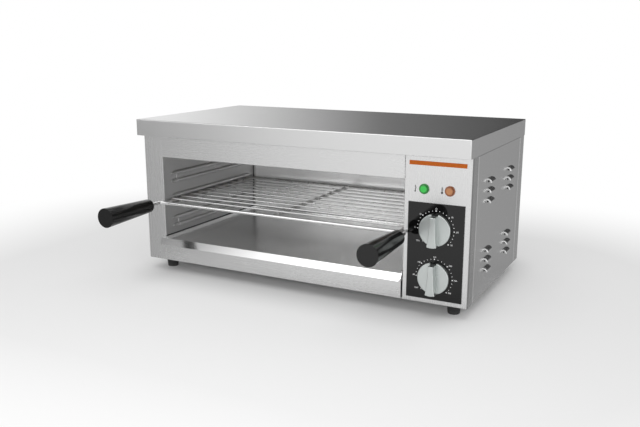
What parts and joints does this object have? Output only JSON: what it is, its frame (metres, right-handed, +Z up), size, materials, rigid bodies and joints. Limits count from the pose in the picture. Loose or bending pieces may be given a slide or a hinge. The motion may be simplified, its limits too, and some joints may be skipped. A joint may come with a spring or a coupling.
{
  "type": "salamander toaster",
  "caption": "Stainless counter-top salamander toaster: open grill chamber, pull-out wire rack with black grips, crumb tray, timer and thermostat knobs, pilot lamps.",
  "frame": {"origin": "middle of the plan of the whole object at the height of the feet's undersides", "axes": "+X to the user's right, +Y to the back, +Z up; the open chamber and the controls face -Y"},
  "size_m": [0.619, 0.4716, 0.2772],
  "materials": {
    "stainless": "brushed",
    "chamber_steel": "satin",
    "rod_steel": "bright",
    "grip_plastic": "semi-gloss",
    "knob_plastic": "satin silver",
    "plate_black": "gloss",
    "strip_orange": "satin",
    "lens_green": "gloss",
    "lens_amber": "gloss",
    "foot_rubber": "matt",
    "zinc": "plated",
    "sheath": "heat darkened",
    "brass": "plain",
    "ceramic": "matt",
    "capillary": "plain copper",
    "switch_plastic": "matt",
    "gland_plastic": "matt",
    "block_plastic": "matt",
    "lead_insulation": "matt"
  },
  "bodies": {
    "body": {"lid": "stainless", "left_post": "stainless", "header": "stainless", "lower_front_panel": "stainless", "control_panel": "stainless", "right_side_panel": "stainless", "left_side_panel": "stainless", "back_panel": "stainless", "base_pan": "stainless", "chamber_left_wall": "chamber_steel", "chamber_right_wall": "chamber_steel", "chamber_back_wall": "chamber_steel", "chamber_roof": "chamber_steel", "chamber_floor": "chamber_steel", "left_runners": "chamber_steel", "right_runners": "chamber_steel", "timer_body": "switch_plastic", "thermostat_body": "switch_plastic", "control_screws": "zinc", "dial_plate": "plate_black", "accent_strip": "strip_orange", "green_lens": "lens_green", "amber_lens": "lens_amber", "lamp_bodies": "switch_plastic", "lamp_rings": "zinc", "front_element": "sheath", "rear_element": "sheath", "element_nuts": "brass", "element_beads": "ceramic", "element_pins": "zinc", "element_hangers": "chamber_steel", "thermostat_bulb": "capillary", "bulb_clips": "chamber_steel", "cable_gland": "gland_plastic", "gland_locknut": "gland_plastic", "terminal_block": "block_plastic", "earth_stud": "brass", "leads": "lead_insulation", "front_left_foot": "foot_rubber", "front_right_foot": "foot_rubber", "rear_left_foot": "foot_rubber", "rear_right_foot": "foot_rubber", "foot_screws": "zinc", "foot_nuts": "zinc", "back_screws": "zinc"},
    "rack": {"rack_frame": "rod_steel", "rack_wires": "rod_steel", "rack_middle_rod": "rod_steel", "left_grip": "grip_plastic", "right_grip": "grip_plastic"},
    "tray": {"crumb_tray": "stainless"},
    "timer_control": {"timer_knob": "knob_plastic", "timer_shaft": "zinc"},
    "thermostat_control": {"thermostat_knob": "knob_plastic", "thermostat_shaft": "zinc"}
  },
  "joints": [
    {"name": "rack_slide", "type": "slide", "parent": "body", "child": "rack", "axis": [0, -1, 0], "range_m": [0, 0.2]},
    {"name": "tray_slide", "type": "slide", "parent": "body", "child": "tray", "axis": [0, -1, 0], "range_m": [0, 0.2]},
    {"name": "timer_turn", "type": "hinge", "parent": "body", "child": "timer_control", "pos_m": [0.25, -0.0966, 0.137], "axis": [0, 1, 0], "range_deg": [-135, 135]},
    {"name": "thermostat_turn", "type": "hinge", "parent": "body", "child": "thermostat_control", "pos_m": [0.25, -0.0966, 0.062], "axis": [0, 1, 0], "range_deg": [-135, 135]}
  ]
}
